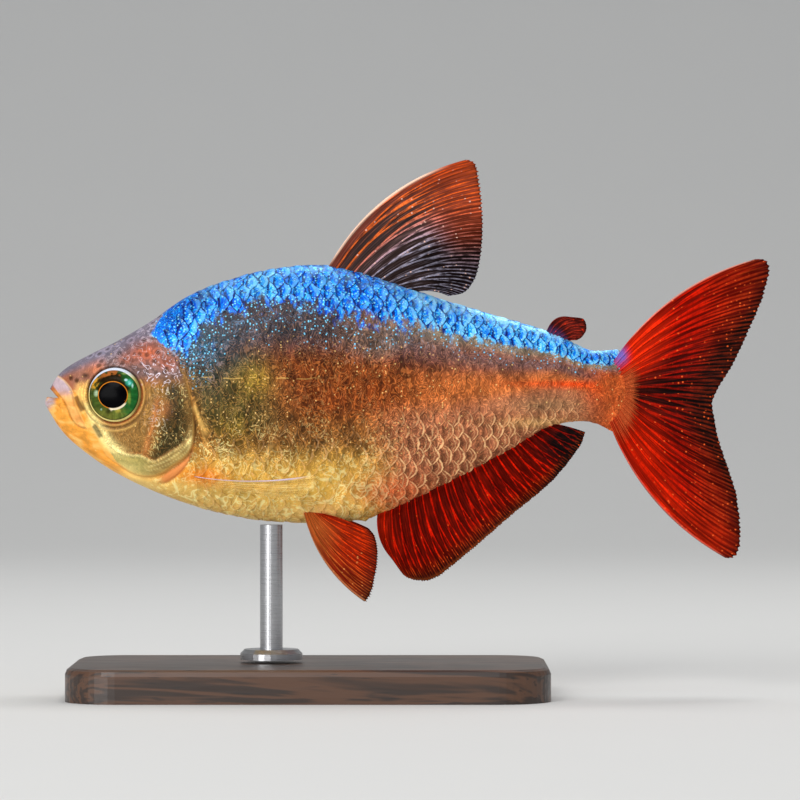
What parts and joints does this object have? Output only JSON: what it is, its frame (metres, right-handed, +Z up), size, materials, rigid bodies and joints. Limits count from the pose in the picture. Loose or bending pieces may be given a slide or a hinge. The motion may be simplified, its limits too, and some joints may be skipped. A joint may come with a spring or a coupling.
{
  "type": "colombian tetra model",
  "caption": "Life-size still model of a Colombian tetra, a deep-bodied small freshwater fish with a forked tail, held level by a short rod on a flat rounded base.",
  "frame": {"origin": "on the floor under the middle of the fish's length, in its middle plane", "axes": "the fish's snout points to -X and its tail to +X, its left side faces -Y, +Z is up"},
  "size_m": [0.0699, 0.026, 0.0518],
  "materials": {
    "head": "satin painted skin, olive gold",
    "jaw": "satin painted skin, orange gold",
    "trunk": "satin painted scales, blue back over orange and olive flanks",
    "stalk": "satin painted scales, rust orange",
    "eye": "polished, green and gold iris with a black pupil",
    "red_fin": "satin, deep red",
    "dark_fin": "satin, orange rays on smoky membranes",
    "clear_fin": "satin, pale yellow",
    "wood": "dark, satin",
    "steel": "brushed"
  },
  "bodies": {
    "root": {"head": "head", "lower_jaw": "jaw", "gill_cover_left": "head", "gill_cover_right": "head", "eye_left": "eye", "eye_right": "eye", "torso": "trunk", "tail_stalk": "stalk", "dorsal_fin": "dark_fin", "adipose_fin": "red_fin", "anal_fin": "red_fin", "tail_fin_upper": "red_fin", "tail_fin_lower": "red_fin", "pelvic_fin_left": "red_fin", "pelvic_fin_right": "red_fin", "pectoral_fin_left": "clear_fin", "pectoral_fin_right": "clear_fin", "stand_base": "wood", "stand_rod": "steel"}
  },
  "joints": []
}
